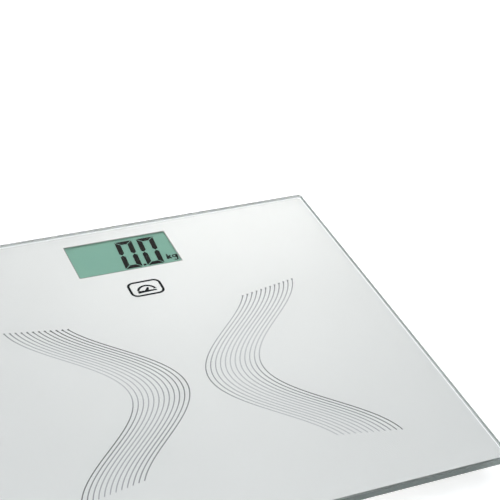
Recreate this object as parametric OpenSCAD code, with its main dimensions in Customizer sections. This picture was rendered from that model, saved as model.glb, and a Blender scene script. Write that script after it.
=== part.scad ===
// Digital bathroom scale: a clear glass platform with a printed film under it, a display housing
// that hangs from the film behind the reader's feet, and four load-cell feet wired to it.
// Millimetres. X runs side to side, +Y to the back (the display side), +Z up, floor at z = 0.

/* [Platform] */
// Width of the glass platform, side to side
platform_w = 300; // [280:5:340]
// Depth of the glass platform, front to back
platform_d = 300; // [280:5:340]
// Thickness of the glass
glass_t = 6; // [5:0.5:8]
// Radius of the glass corners in plan
glass_corner_r = 3; // [2:0.5:8]
// Width of the ground bevel round the top and bottom edges of the glass
glass_bevel = 0.8; // [0.4:0.1:1.5]
// Thickness of the clear glue between the glass and the printed film
glue_t = 0.05; // [0.03:0.01:0.1]
// Thickness of the printed film
film_t = 0.25; // [0.15:0.05:0.5]
// Distance from the edge of the glass to the edge of the film
film_inset = 1.4; // [1:0.1:4]

/* [Display] */
// Width of the clear window in the film
window_w = 73.2; // [60:0.2:80]
// Depth of the clear window in the film
window_d = 37.4; // [30:0.2:42]
// Distance from the back edge of the glass to the window
window_back = 13.5; // [12:0.5:20]
// Border of the display glass that the film hides, on each side
lcd_border = 2.6; // [2:0.1:3.5]
// Thickness of each of the two sheets of display glass
lcd_glass_t = 1.1; // [0.7:0.1:1.4]
// Thickness of each polariser
polariser_t = 0.2; // [0.15:0.05:0.3]
// Gap between the two sheets of display glass
liquid_gap = 0.1; // [0.05:0.05:0.2]
// Ledge of the front sheet that carries the contacts
lcd_ledge = 4; // [3:0.5:5]
// Width of the rubber connector strip
zebra_w = 1.8; // [1.2:0.2:2.4]
// Thickness of the foam gasket round the window
gasket_t = 0.3; // [0.2:0.05:0.5]
// Wall of the frame that holds the display
holder_wall = 1.2; // [0.8:0.2:1.6]

/* [Housing] */
// Width of the display housing
housing_w = 148; // [144:1:152]
// Depth of the display housing
housing_d = 58; // [56:1:64]
// Distance from the window to the back of the housing
housing_back = 7.5; // [7:0.5:9]
// Height of the housing below the film
housing_h = 12.3; // [12:0.1:13.5]
// Corner radius of the housing in plan
housing_r = 7; // [5:1:10]
// Wall thickness of the moulded parts
wall = 1.8; // [1.4:0.2:2.2]
// Thickness of the screwed cover
cover_t = 1.6; // [1.4:0.1:2]
// Thickness of the foam tape
tape_t = 0.8; // [0.5:0.1:1.2]
// Depth of the circuit board's top face below the film
board_depth = 5.7; // [5.6:0.1:5.8]
// Thickness of the circuit board
board_t = 1.6; // [1:0.2:1.6]
// Radius of the screw bosses
boss_r = 3; // [2.8:0.1:3.4]
// Radius of the cover screws' shanks
screw_r = 1.15; // [1:0.05:1.3]
// Radius of the cover screws' heads
screw_head_r = 2.3; // [2:0.1:2.6]

/* [Battery] */
// Diameter of the coin cell
coin_d = 20; // [16:0.5:20.4]
// Thickness of the coin cell
coin_t = 3.2; // [2:0.1:3.3]
// Sideways distance from the middle of the scale to the coin cell
coin_x = 59.5; // [58.5:0.5:59.5]
// Width of the battery door
door_w = 22.6; // [22.2:0.2:22.8]
// Length of the battery door
door_l = 32; // [28:1:34]
// Thickness of the battery door
door_t = 1.5; // [1.2:0.1:1.5]
// Radius of the door's hinge barrel
barrel_r = 1; // [0.9:0.1:1.1]
// Radius of the hinge pins
pin_r = 0.6; // [0.5:0.05:0.7]

/* [Unit button] */
// Diameter of the unit button
button_d = 9; // [7:0.5:12]
// Sideways distance from the middle of the scale to the button
button_x = 53; // [50:1:55]
// Travel of the button
button_travel = 0.3; // [0.2:0.05:0.4]
// Width of the switch under the button
switch_w = 6.2; // [5:0.2:7]
// Height of the switch body
switch_h = 1.8; // [1.5:0.1:1.9]

/* [Feet] */
// Distance from the edges of the glass to the middle of each foot
foot_inset = 38; // [36:1:39]
// Width of each square foot bracket
bracket_w = 54; // [52:1:56]
// Corner radius of each bracket in plan
bracket_r = 10; // [6:1:14]
// Height of each bracket above the floor
bracket_z = 6; // [5:0.5:8]
// Travel of each foot from unloaded to its stop
foot_travel = 0.6; // [0.4:0.1:1]
// Radius of each foot cup
cup_r = 18.8; // [16:0.4:20]
// Radius of each rubber pad
pad_r = 17; // [14:0.5:17.5]
// Thickness of each rubber pad
pad_t = 2.4; // [2:0.2:3]
// Width of each square load cell
cell_w = 34; // [30:0.5:36]
// Thickness of the load cell's steel
cell_t = 1; // [0.8:0.1:1.5]
// Height of the seat that the load cell bears on
seat_h = 3.8; // [3.4:0.1:4.5]

/* [Wiring] */
// Radius of one insulated wire
wire_r = 0.6; // [0.5:0.05:0.7]
// Spacing of the three wires in a lead
wire_pitch = 1.6; // [1.5:0.05:1.7]
// Radius of the middle wire's bends
wire_bend = 3.4; // [3:0.1:3.6]
// Outer width of a wire duct
duct_w = 8; // [7:0.5:8]
// Wall thickness of a wire duct
duct_wall = 1; // [0.8:0.1:1.2]

/* [Hidden] */
$fn = 48;
eps = 0.01;
run_gap = 0.25;      // gap round a part that moves
fit_gap = 0.15;      // gap round a part that is placed and stays

CORNERS = [["front_left", -1, -1], ["front_right", 1, -1], ["rear_left", -1, 1], ["rear_right", 1, 1]];
SIDES = [["left", -1], ["right", 1]];
WIRES = [["red", -1, "firebrick"], ["black", 0, "dimgray"], ["white", 1, "white"]];
PER_CORNER = ["foot_bracket", "bracket_tape", "load_cell", "strain_gauge", "foot_cup", "foot_pad"];

// Heights of the feet, from the floor up
lip_t = 1.2;                                         // inward lip that keeps the cup in its bracket
flange_t = 1;
lip_gap = 0.2;
stop_gap = 0.5;                                      // left above the flange at full travel
flange_z = bracket_z + lip_t + lip_gap;
cell_z = flange_z + flange_t + foot_travel + stop_gap;
seat_z = cell_z + cell_t;
bracket_roof = seat_z + seat_h;
bracket_top = bracket_roof + cover_t;
film_bottom = bracket_top + tape_t;
film_top = film_bottom + film_t;
glass_z = film_top + glue_t;
platform_z = glass_z + glass_t;

// The display, from the film down
window_y = platform_d / 2 - window_back - window_d / 2;
lcd_w = window_w + 2 * lcd_border;
lcd_front_y = window_y - window_d / 2 - lcd_ledge - 1.6;
lcd_back_y = window_y + window_d / 2 + lcd_border;
lcd_d = lcd_back_y - lcd_front_y;
lcd_y = (lcd_front_y + lcd_back_y) / 2;
polariser_z = film_bottom - gasket_t / 2 - polariser_t;
front_glass_z = polariser_z - lcd_glass_t;
rear_glass_z = front_glass_z - liquid_gap - lcd_glass_t;
reflector_z = rear_glass_z - polariser_t;
holder_top = film_bottom - gasket_t;
board_top = film_bottom - board_depth;
board_z = board_top - board_t;
zebra_y = lcd_front_y + lcd_ledge / 2;
holder_w = lcd_w + 2 * (fit_gap + holder_wall);
holder_d = lcd_d + 2 * (fit_gap + holder_wall);
ear_r = 2.6;
ear_x = holder_w / 2 + 0.4;
ear_dy = [-14.5, 18];                                // clear of the leads that cross the board's ends
board_screw_r = 0.9;

// The housing
housing_y = window_y + window_d / 2 + housing_back - housing_d / 2;
cover_z = film_bottom - housing_h;
frame_z = cover_z + cover_t;
frame_top = film_bottom - tape_t;
boss_x = housing_w / 2 - wall - boss_r - 1.4;
boss_dy = housing_d / 2 - wall - boss_r + 1;
BOSSES = [[-boss_x, -boss_dy], [boss_x, -boss_dy], [-boss_x, boss_dy], [boss_x, boss_dy]];
rim_h = 1.8;
rim_t = 1.2;
tape_w = wall + 1.2;                                 // the frame's flange, which the tape covers
flange_h = 1.4;

// The circuit board
board_left = -60;
board_right = holder_w / 2 + 4;
board_front = lcd_y - holder_d / 2 - 1;
board_back = lcd_y + holder_d / 2;
lead_end_x = board_right - 2.6;                      // where the leads are soldered down

// The battery bay
bay_r = coin_d / 2 + 0.3;
bay_wall = 1.2;
ledge_t = 1.2;                                       // ledge that the closed door lies under
ledge_z = frame_z;
coin_z = cover_z + door_t + 0.4;
bay_roof = coin_z + coin_t + 0.5;
bay_top = bay_roof + 0.9;
contact_t = 0.3;
door_y = housing_y;
door_back = door_y + door_l / 2;
barrel_y = door_y - door_l / 2 + barrel_r;
barrel_z = cover_z + barrel_r;
barrel_gap = 0.3;
pin_gap = 0.06;
pin_l = 1;
grip_w = 8;
contact_w = 4;
clip_dy = 5.5;                                       // the clip touches the coin cell's rim this far off
clip_x = coin_x - sqrt(pow(coin_d / 2, 2) - pow(clip_dy, 2)) - 0.5;

// The unit button, its cap just proud of the cover, and its switch under the board
switch_z = board_z - switch_h;
plunger_h = 0.4;
plunger_r = 1.7;
plunger_in = button_travel + 0.1;                    // depth of the plunger inside the switch at rest
button_top = switch_z - plunger_h;
button_proud = 0.5;
button_flange = 1.1;

// The feet
foot_x = platform_w / 2 - foot_inset;
foot_y = platform_d / 2 - foot_inset;
cup_z = pad_t / 2;
cup_floor = pad_t + 1.8;
cup_wall = 1.6;
flange_r = cup_r + 1.7;
cup_boss_r = 5;
cup_slot = 3;
seat_w = cell_w - 7;                                 // clear square above the load cell
rim_cell = 0.8;                                      // wall that the load cell sits inside
gauge_size = [6, 8, 1.9];
gauge_x = -9.5;

// The wiring: the leads run straight in from the rear feet, and round a duct from the front feet
wire_z = board_top + wire_r;
lead_w = 2 * (wire_pitch + wire_r);
duct_x = (foot_x - bracket_w / 2 + housing_w / 2) / 2;
duct_y = housing_y - boss_dy + boss_r + lead_w / 2 + 0.5;
duct_floor = wire_z - wire_r - 0.8;
duct_z = duct_floor - duct_wall;
notch_w = lead_w + 1.2;
notch_h = 2 * wire_r + 1.2;
gauge_face_x = foot_x + gauge_x - gauge_size[0] / 2;
REAR_LEAD = [[gauge_face_x, foot_y], [lead_end_x, foot_y]];
FRONT_LEAD = [[gauge_face_x, -foot_y], [duct_x, -foot_y], [duct_x, duct_y], [lead_end_x, duct_y]];
REAR_DUCT = [[foot_x - bracket_w / 2, foot_y], [housing_w / 2, foot_y]];
FRONT_DUCT = [
    [foot_x - bracket_w / 2, -foot_y], [duct_x, -foot_y], [duct_x, duct_y], [housing_w / 2, duct_y]
];

// ---- shapes that repeat ----

// A rectangle with round corners, centred
module round_rect(w, d, r) {
    square([w - 2 * r, d], center = true);
    square([w, d - 2 * r], center = true);
    for (x = [-1, 1], y = [-1, 1]) translate([x * (w / 2 - r), y * (d / 2 - r)]) circle(r);
}

// A plate with round corners, standing on z
module plate(w, d, r, z, h) {
    translate([0, 0, z]) linear_extrude(h) round_rect(w, d, r);
}

// A ring with round corners, standing on z
module ring(w, d, r, t, z, h) {
    translate([0, 0, z]) linear_extrude(h) difference() {
        round_rect(w, d, r);
        round_rect(w - 2 * t, d - 2 * t, max(r - t, 0.3));
    }
}

// A block between two corners
module block(low, high) {
    translate(low) cube(high - low);
}

// Half of a plate's section, from its middle to an edge bevelled at its top and bottom
function edge_outline(b, t, c) = [[0, 0], [b - c, 0], [b, c], [b, t - c], [b - c, t], [0, t]];

// A plate with round corners and bevelled edges: two crossed bars and four turned corners
module bevelled_plate(w, d, t, r, c) {
    for (m = [0, 1]) mirror([m, 0, 0]) rotate([90, 0, 0]) translate([0, 0, r - d / 2])
        linear_extrude(d - 2 * r) polygon(edge_outline(w / 2, t, c));
    for (m = [0, 1]) mirror([0, m, 0]) rotate([90, 0, 90]) translate([0, 0, r - w / 2])
        linear_extrude(w - 2 * r) polygon(edge_outline(d / 2, t, c));
    for (x = [-1, 1], y = [-1, 1]) translate([x * (w / 2 - r), y * (d / 2 - r), 0])
        rotate_extrude() polygon(edge_outline(r, t, c));
}

// Places a foot's parts at its corner; a foot's own -x points to the middle of the scale
module at_corner(c) {
    translate([c[1] * foot_x, c[2] * foot_y, 0]) rotate([0, 0, c[1] < 0 ? 180 : 0]) children();
}

// Mirrors what is drawn for the right side to the left where side is -1
module on_side(side) {
    if (side < 0) mirror([1, 0, 0]) children();
    else children();
}

function heading(p, i) = (p[i + 1] - p[i]) / norm(p[i + 1] - p[i]);
function left_of(h) = [-h[1], h[0]];
function turn(a, b) = a[0] * b[1] - a[1] * b[0];

// Point i of a square-cornered route moved s to the left of its heading
function moved(p, i, s) = p[i] + s * (
    i == 0 ? left_of(heading(p, 0))
    : i == len(p) - 1 ? left_of(heading(p, i - 1))
    : left_of(heading(p, i - 1)) + left_of(heading(p, i)));

// Bend radius at point i for a wire s to the left of the route
function bend(p, i, s) = i == 0 || i == len(p) - 1 ? 0
    : wire_bend - s * turn(heading(p, i - 1), heading(p, i));

// One wire: straight cylinders and quarter-circle bends
module wire(p, s) {
    for (i = [0 : len(p) - 2]) {
        h = heading(p, i);
        from = moved(p, i, s) + h * bend(p, i, s);
        to = moved(p, i + 1, s) - h * bend(p, i + 1, s);
        translate([from[0], from[1], wire_z]) rotate([0, 90, atan2(h[1], h[0])])
            cylinder(r = wire_r, h = norm(to - from), $fn = 24);
    }
    if (len(p) > 2) for (i = [1 : len(p) - 2]) {
        a = heading(p, i - 1);
        b = heading(p, i);
        r = bend(p, i, s);
        centre = moved(p, i, s) + (b - a) * r;
        start = turn(a, b) > 0 ? -b : a;
        translate([centre[0], centre[1], wire_z]) rotate([0, 0, atan2(start[1], start[0])])
            rotate_extrude(angle = 90) translate([r, 0]) circle(wire_r, $fn = 24);
    }
}

// The plan of a square-cornered channel
module channel_plan(p, w) {
    for (i = [0 : len(p) - 2]) {
        h = heading(p, i);
        translate(p[i]) rotate(atan2(h[1], h[0])) translate([0, -w / 2]) square([norm(p[i + 1] - p[i]), w]);
    }
    if (len(p) > 2) for (i = [1 : len(p) - 2]) translate(p[i]) circle(w / 2);
}

// ---- the platform ----

module glass_platform() {
    color("azure", 0.4) translate([0, 0, glass_z])
        bevelled_plate(platform_w, platform_d, glass_t, glass_corner_r, glass_bevel);
}

module backing_film() {
    color("gainsboro") translate([0, 0, film_bottom]) linear_extrude(film_t) difference() {
        round_rect(platform_w - 2 * film_inset, platform_d - 2 * film_inset, glass_corner_r);
        translate([0, window_y]) square([window_w, window_d], center = true);
    }
}

// ---- the display ----

module frame_tape() {
    color("white") translate([0, housing_y, 0])
        ring(housing_w, housing_d, housing_r, tape_w, frame_top, tape_t);
}

module lcd_gasket() {
    color("dimgray") translate([0, 0, holder_top]) linear_extrude(gasket_t) difference() {
        translate([0, lcd_y]) square([holder_w - 0.4, holder_d - 0.4], center = true);
        translate([0, window_y]) square([window_w + 1.6, window_d + 1.6], center = true);
    }
}

module front_polariser() {
    color("lightgray", 0.5) translate([0, window_y, polariser_z]) linear_extrude(polariser_t)
        square([window_w + 1.2, window_d + 1.2], center = true);
}

module lcd_front_glass() {
    color("lightcyan", 0.5) translate([-lcd_w / 2, lcd_front_y, front_glass_z])
        cube([lcd_w, lcd_d, lcd_glass_t]);
}

module lcd_rear_glass() {
    color("darkseagreen") translate([-lcd_w / 2, lcd_front_y + lcd_ledge, rear_glass_z])
        cube([lcd_w, lcd_d - lcd_ledge, lcd_glass_t]);
}

module lcd_reflector() {
    color("darkseagreen") translate([0, window_y, reflector_z]) linear_extrude(polariser_t)
        square([window_w + 1.2, window_d + 1.2], center = true);
}

// The frame round the display glass, with four ears that the board is screwed to
module lcd_holder() {
    color("whitesmoke") difference() {
        union() {
            translate([-holder_w / 2, lcd_y - holder_d / 2, board_top])
                cube([holder_w, holder_d, holder_top - board_top]);
            for (x = [-1, 1], dy = ear_dy) translate([x * ear_x, lcd_y + dy, board_top])
                cylinder(r = ear_r, h = 4);
        }
        // the pocket for the display glass, and the shelf that the rear sheet rests on
        translate([-lcd_w / 2 - fit_gap, lcd_front_y - fit_gap, rear_glass_z])
            cube([lcd_w + 2 * fit_gap, lcd_d + 2 * fit_gap, 10]);
        translate([-window_w / 2 - 1, window_y - window_d / 2 - 1, board_top - eps])
            cube([window_w + 2, window_d + 2, 10]);
        // the slot for the connector strip
        translate([-lcd_w / 2 + 4 - fit_gap, zebra_y - zebra_w / 2 - fit_gap, board_top - eps])
            cube([lcd_w - 8 + 2 * fit_gap, zebra_w + 2 * fit_gap, 10]);
        for (x = [-1, 1], dy = ear_dy) translate([x * ear_x, lcd_y + dy, board_top - eps])
            cylinder(r = board_screw_r + 0.05, h = 3);
    }
}

module zebra_strip() {
    color("hotpink") translate([-lcd_w / 2 + 4, zebra_y - zebra_w / 2, board_top])
        cube([lcd_w - 8, zebra_w, front_glass_z - board_top]);
}

// ---- the electronics ----

module main_board() {
    color("seagreen") difference() {
        block([board_left, board_front, board_z], [board_right, board_back, board_top]);
        for (x = [-1, 1], dy = ear_dy) translate([x * ear_x, lcd_y + dy, board_z - eps])
            cylinder(r = board_screw_r + 0.2, h = board_t + 2 * eps);
    }
}

// The bare chip under its drop of black resin, on the underside
module controller_blob() {
    color("black") translate([-6, window_y, board_z]) rotate_extrude()
        polygon([[0, -1.2], [1.8, -1.15], [3.6, -0.85], [5, -0.4], [6, 0], [0, 0]]);
}

// Small parts soldered to the board: resistors and capacitors below, a crystal and a capacitor above
module board_parts() {
    color("tan") {
        for (i = [0 : 5]) translate([-28 + 6 * i, window_y - 14, board_z - 0.6]) cube([2, 1.2, 0.6]);
        for (i = [0 : 2]) translate([10 + 5 * i, window_y + 8, board_z - 0.9]) cube([3.2, 1.6, 0.9]);
        translate([board_left + 3, window_y + 8, board_top]) cube([7, 3, 2.4]);
        translate([board_left + 6.5, window_y - 1, board_top]) cylinder(r = 2, h = 3.6);
        translate([18, window_y - 6, board_z - 1.4]) cube([8, 5, 1.4]);
    }
}

module switch_body() {
    color("black") translate([-button_x, housing_y, switch_z]) difference() {
        translate([-switch_w / 2, -switch_w / 2, 0]) cube([switch_w, switch_w, switch_h]);
        translate([0, 0, -eps]) cylinder(r = plunger_r + 0.1, h = plunger_in + button_travel + 0.1);
    }
}

module board_screws() {
    color("silver") for (x = [-1, 1], dy = ear_dy) translate([x * ear_x, lcd_y + dy, board_z]) {
        cylinder(r = board_screw_r, h = board_t + 2.6);
        difference() {
            translate([0, 0, -1]) cylinder(r = 1.7, h = 1);
            translate([-1.1, -0.2, -1 - eps]) cube([2.2, 0.4, 0.5]);
            translate([-0.2, -1.1, -1 - eps]) cube([0.4, 2.2, 0.5]);
        }
    }
}

// ---- the housing ----

// The frame that is taped to the film: a wall, a flange for the tape, and the screw bosses
module display_frame() {
    color("whitesmoke") translate([0, housing_y, 0]) difference() {
        union() {
            ring(housing_w, housing_d, housing_r, wall, frame_z, frame_top - frame_z);
            ring(housing_w, housing_d, housing_r, tape_w, frame_top - flange_h, flange_h);
            for (b = BOSSES) intersection() {
                translate([b[0], b[1], frame_z]) cylinder(r = boss_r, h = frame_top - frame_z);
                plate(housing_w, housing_d, housing_r, frame_z, housing_h);
            }
        }
        for (b = BOSSES) translate([b[0], b[1], frame_z - eps]) cylinder(r = screw_r + 0.05, h = 7.5);
        for (x = [-1, 1], y = [foot_y, duct_y]) translate([x * housing_w / 2, y - housing_y, wire_z])
            cube([4 * wall, notch_w, notch_h], center = true);
    }
}

// The screwed cover, with the battery bay, the door's pocket and the button's hole
module bottom_cover() {
    color("whitesmoke") difference() {
        union() {
            translate([0, housing_y, 0]) plate(housing_w, housing_d, housing_r, cover_z, cover_t);
            translate([0, housing_y, 0]) difference() {
                ring(housing_w - 2 * (wall + fit_gap), housing_d - 2 * (wall + fit_gap),
                     housing_r - wall, rim_t, frame_z, rim_h);
                for (b = BOSSES) translate([b[0], b[1], frame_z])
                    cylinder(r = boss_r + fit_gap, h = rim_h + eps);
            }
            block([coin_x - door_w / 2 - pin_l - 0.6, barrel_y - barrel_r - 2, ledge_z],
                  [coin_x + door_w / 2 + pin_l + 0.1, door_back + 2, ledge_z + ledge_t]);
            translate([coin_x, housing_y, ledge_z]) cylinder(r = bay_r + bay_wall, h = bay_top - ledge_z);
        }
        // the coin cell's bay and the door's pocket
        translate([coin_x, housing_y, cover_z - eps]) cylinder(r = bay_r, h = bay_roof - cover_z + eps);
        block([coin_x - door_w / 2 - run_gap, barrel_y, cover_z - eps],
              [coin_x + door_w / 2 + run_gap, door_back + run_gap, ledge_z]);
        // the hinge's groove and the two holes for its pins
        translate([coin_x - door_w / 2 - run_gap, barrel_y, barrel_z]) rotate([0, 90, 0])
            cylinder(r = barrel_r + barrel_gap, h = door_w + 2 * run_gap);
        block([coin_x - door_w / 2 - run_gap, barrel_y - barrel_r - barrel_gap, cover_z - eps],
              [coin_x + door_w / 2 + run_gap, barrel_y, barrel_z]);
        translate([coin_x - door_w / 2 - pin_l - 0.1, barrel_y, barrel_z]) rotate([0, 90, 0])
            cylinder(r = pin_r + pin_gap, h = door_w + 2 * pin_l + 0.2);
        // the slots that the two contacts pass through
        contact_slots();
        // the button's hole, the screw holes and their counterbores, and a shallow recess for a label
        translate([-button_x, housing_y, cover_z - eps])
            cylinder(d = button_d + 2 * run_gap, h = cover_t + 2 * eps);
        for (b = BOSSES) translate([b[0], housing_y + b[1], cover_z - eps]) {
            cylinder(r = screw_r + 0.25, h = cover_t + 2 * eps);
            cylinder(r = screw_head_r + 0.2, h = 0.9);
        }
        translate([0, housing_y + 4, cover_z - eps]) linear_extrude(0.3) round_rect(70, 30, 2);
    }
}

module cover_screws() {
    color("silver") for (b = BOSSES) translate([b[0], housing_y + b[1], cover_z]) difference() {
        union() {
            cylinder(r = screw_r, h = 7);
            translate([0, 0, -0.5]) cylinder(r = screw_head_r, h = 1.35);
        }
        translate([-1.5, -0.3, -0.5 - eps]) cube([3, 0.6, 0.9]);
        translate([-0.3, -1.5, -0.5 - eps]) cube([0.6, 3, 0.9]);
    }
}

// ---- the battery ----

module coin_cell() {
    color("silver") translate([coin_x, housing_y, coin_z]) rotate_extrude($fn = 96)
        polygon([[0, 0], [coin_d / 2 - 0.5, 0], [coin_d / 2, 0.5], [coin_d / 2, coin_t - 0.6],
                 [coin_d / 2 - 1.2, coin_t - 0.6], [coin_d / 2 - 1.2, coin_t], [0, coin_t]]);
}

// The slots in the bay's wall and roof that the two contacts pass through
module contact_slots() {
    block([clip_x - fit_gap, housing_y - clip_dy - contact_w - fit_gap, coin_z + 0.4],
          [coin_x - 4, housing_y - clip_dy + fit_gap, bay_top + eps]);
    block([coin_x - 6 - fit_gap, housing_y + 2 - fit_gap, bay_roof - eps],
          [coin_x - 6 + contact_t + fit_gap, housing_y + 2 + contact_w + fit_gap, bay_top + eps]);
}

// Clip that touches the rim of the coin cell and is soldered to the board
module contact_positive() {
    back = housing_y - clip_dy;
    front = back - contact_w;
    color("lightsteelblue") {
        block([clip_x, front, coin_z + 0.6], [clip_x + contact_t, back, board_top + contact_t]);
        block([board_right - 3, front, board_top], [clip_x + eps, back, board_top + contact_t]);
    }
}

// Leaf over the small face of the coin cell, with two sprung fingers, soldered to the board
module contact_negative() {
    leaf_z = bay_roof - contact_t;
    front = housing_y + 2;
    back = front + contact_w;
    color("lightsteelblue") {
        block([coin_x - 6, housing_y - 4, leaf_z], [coin_x + 5, back, bay_roof]);
        for (dy = [-2.6, 2.6]) translate([coin_x + 1, housing_y + dy - 1, leaf_z - 0.2])
            cube([4, 2, 0.2 + eps]);
        block([coin_x - 6, front, leaf_z], [coin_x - 6 + contact_t, back, board_top + contact_t]);
        block([board_right - 3, front, board_top], [coin_x - 6 + eps, back, board_top + contact_t]);
    }
}

// The door turns on two pins at its front edge; a finger grip marks its back edge
module battery_door() {
    color("whitesmoke") difference() {
        union() {
            block(
                [coin_x - door_w / 2, barrel_y, cover_z],
                [coin_x + door_w / 2, door_back, cover_z + door_t]
            );
            translate([coin_x - door_w / 2, barrel_y, barrel_z]) rotate([0, 90, 0])
                cylinder(r = barrel_r, h = door_w);
            translate([coin_x - door_w / 2 - pin_l, barrel_y, barrel_z]) rotate([0, 90, 0])
                cylinder(r = pin_r, h = door_w + 2 * pin_l);
            block([coin_x - grip_w / 2, door_back - eps, cover_z + 0.7],
                  [coin_x + grip_w / 2, door_back + run_gap - 0.05, cover_z + door_t]);
        }
        for (i = [0 : 3]) translate([coin_x - grip_w / 2, door_back - 2.4 - 1.5 * i, cover_z - eps])
            cube([grip_w, 0.7, 0.4]);
    }
}

// ---- the unit button ----

module unit_button() {
    color("lightgray") translate([-button_x, housing_y, 0]) {
        translate([0, 0, cover_z - button_proud])
            cylinder(d = button_d, h = button_top - cover_z + button_proud);
        translate([0, 0, button_top - button_flange + 0.05])
            cylinder(d = button_d + 2.4, h = button_flange - 0.05);
    }
}

module switch_plunger() {
    color("dimgray") translate([-button_x, housing_y, button_top])
        cylinder(r = plunger_r, h = plunger_h + plunger_in);
}

// ---- the wiring ----

module duct(p) {
    color("whitesmoke") difference() {
        translate([0, 0, duct_z]) linear_extrude(film_bottom - duct_z) channel_plan(p, duct_w);
        translate([0, 0, duct_floor]) linear_extrude(film_bottom - duct_floor + eps)
            channel_plan(long_ends(p), duct_w - 2 * duct_wall);
    }
}

// The same route with both ends run on a little, so that a cut along it opens them
function long_ends(p) = [for (i = [0 : len(p) - 1])
    p[i] - (i == 0 ? heading(p, 0) * 0.1 : [0, 0])
    + (i == len(p) - 1 ? heading(p, i - 1) * 0.1 : [0, 0])];

module wires(w) {
    color(w[2]) for (s = SIDES) on_side(s[1]) {
        wire(REAR_LEAD, w[1] * wire_pitch);
        wire(FRONT_LEAD, w[1] * wire_pitch);
    }
}

// ---- the feet ----

// The bracket: a shell open below, with a lip that keeps the cup and a seat for the load cell
module foot_bracket() {
    color("whitesmoke") difference() {
        union() {
            difference() {
                plate(bracket_w, bracket_w, bracket_r, bracket_z, bracket_top - bracket_z);
                plate(bracket_w - 2 * wall, bracket_w - 2 * wall, bracket_r - wall,
                      bracket_z + lip_t, bracket_roof - bracket_z - lip_t);
            }
            difference() {
                plate(cell_w + 2 * rim_cell + 2 * fit_gap, cell_w + 2 * rim_cell + 2 * fit_gap, 3 + rim_cell,
                      cell_z, bracket_roof - cell_z + eps);
                plate(seat_w, seat_w, 1, cell_z - eps, bracket_roof - cell_z + eps);
                plate(cell_w + 2 * fit_gap, cell_w + 2 * fit_gap, 3, cell_z - eps, cell_t + eps);
            }
        }
        translate([0, 0, bracket_z - eps]) cylinder(r = cup_r + 0.4, h = lip_t + 2 * eps);
        translate([-bracket_w / 2 - eps, -notch_w / 2, wire_z - notch_h / 2])
            cube([bracket_w / 2 - seat_w / 2 + 2, notch_w, notch_h]);
    }
}

module bracket_tape() {
    color("white") plate(bracket_w - 4, bracket_w - 4, bracket_r - 2, bracket_top, tape_t);
}

// A half-bridge load cell: a steel square with a tongue that the foot pushes up
module load_cell() {
    tongue = [8, 6.5];
    slot = 2.5;
    color("silver") translate([0, 0, cell_z]) linear_extrude(cell_t) difference() {
        round_rect(cell_w, cell_w, 3);
        difference() {
            translate([-tongue[0], -tongue[1] - slot]) square([2 * tongue[0] + slot, 2 * (tongue[1] + slot)]);
            translate([-tongue[0] - 1, -tongue[1]]) square([2 * tongue[0] + 1, 2 * tongue[1]]);
        }
        for (x = [-1, 1], y = [-1, 1]) translate([x, y] * (cell_w / 2 - 2.4)) circle(1);
    }
}

// The dab of silicone over the strain gauge, where the lead is soldered on
module strain_gauge() {
    color("white") translate([gauge_x, 0, seat_z]) {
        linear_extrude(gauge_size[2]) round_rect(gauge_size[0], gauge_size[1], 1);
        translate([0, 0, gauge_size[2]]) linear_extrude(0.4)
            round_rect(gauge_size[0] - 1.4, gauge_size[1] - 1.4, 1);
    }
}

// The cup that moves up into the bracket, with four sprung hooks above the lip
module foot_cup() {
    color("whitesmoke") difference() {
        rotate_extrude($fn = 96) polygon([
            [0, pad_t], [pad_r + 0.1, pad_t], [pad_r + 0.1, cup_z],
            [cup_r - 0.6, cup_z], [cup_r, cup_z + 0.6],
            [cup_r, flange_z], [flange_r, flange_z], [flange_r, flange_z + flange_t],
            [cup_r - cup_wall, flange_z + flange_t], [cup_r - cup_wall, cup_floor], [cup_boss_r, cup_floor],
            [cup_boss_r, cell_z], [0, cell_z]]);
        for (a = [45, 135]) rotate([0, 0, a]) difference() {
            translate([-flange_r - 1, -cup_slot / 2, cup_floor + 0.8]) cube([2 * flange_r + 2, cup_slot, 10]);
            cylinder(r = cup_boss_r + 1, h = 20);
        }
    }
}

// The rubber pad, with two ring grooves in its tread
module foot_pad() {
    color("gray") rotate_extrude($fn = 96) polygon([
        [0, 0], [pad_r * 0.35, 0], [pad_r * 0.35, 0.5], [pad_r * 0.42, 0.5], [pad_r * 0.42, 0],
        [pad_r * 0.68, 0], [pad_r * 0.68, 0.5], [pad_r * 0.75, 0.5], [pad_r * 0.75, 0],
        [pad_r - 0.5, 0], [pad_r, 0.5], [pad_r, pad_t], [0, pad_t]]);
}

glass_platform();
backing_film();
display_frame();
frame_tape();
lcd_gasket();
front_polariser();
lcd_front_glass();
lcd_rear_glass();
lcd_reflector();
lcd_holder();
zebra_strip();
main_board();
controller_blob();
board_parts();
switch_body();
board_screws();
bottom_cover();
cover_screws();
coin_cell();
contact_positive();
contact_negative();
battery_door();
unit_button();
switch_plunger();
for (s = SIDES) {
    on_side(s[1]) duct(REAR_DUCT);
    on_side(s[1]) duct(FRONT_DUCT);
}
for (w = WIRES) wires(w);
for (c = CORNERS) {
    at_corner(c) foot_bracket();
    at_corner(c) bracket_tape();
    at_corner(c) load_cell();
    at_corner(c) strain_gauge();
    at_corner(c) foot_cup();
    at_corner(c) foot_pad();
}
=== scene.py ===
# %% [markdown]
# # A glass bathroom scale
# The frame is the finished mechanical model: glass, housing, feet, wires and their joints, in metres,
# with the floor at zero, X to the right, Y to the back edge and Z up. This lesson adds what a drawing
# office leaves out: the printed film, the liquid-crystal segments, the light and every surface finish.
# The model's own pieces are never moved. New pieces take their places from the model's boxes.

# %% Load the frame
import math

import bpy
from mathutils import Matrix, Vector


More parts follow.
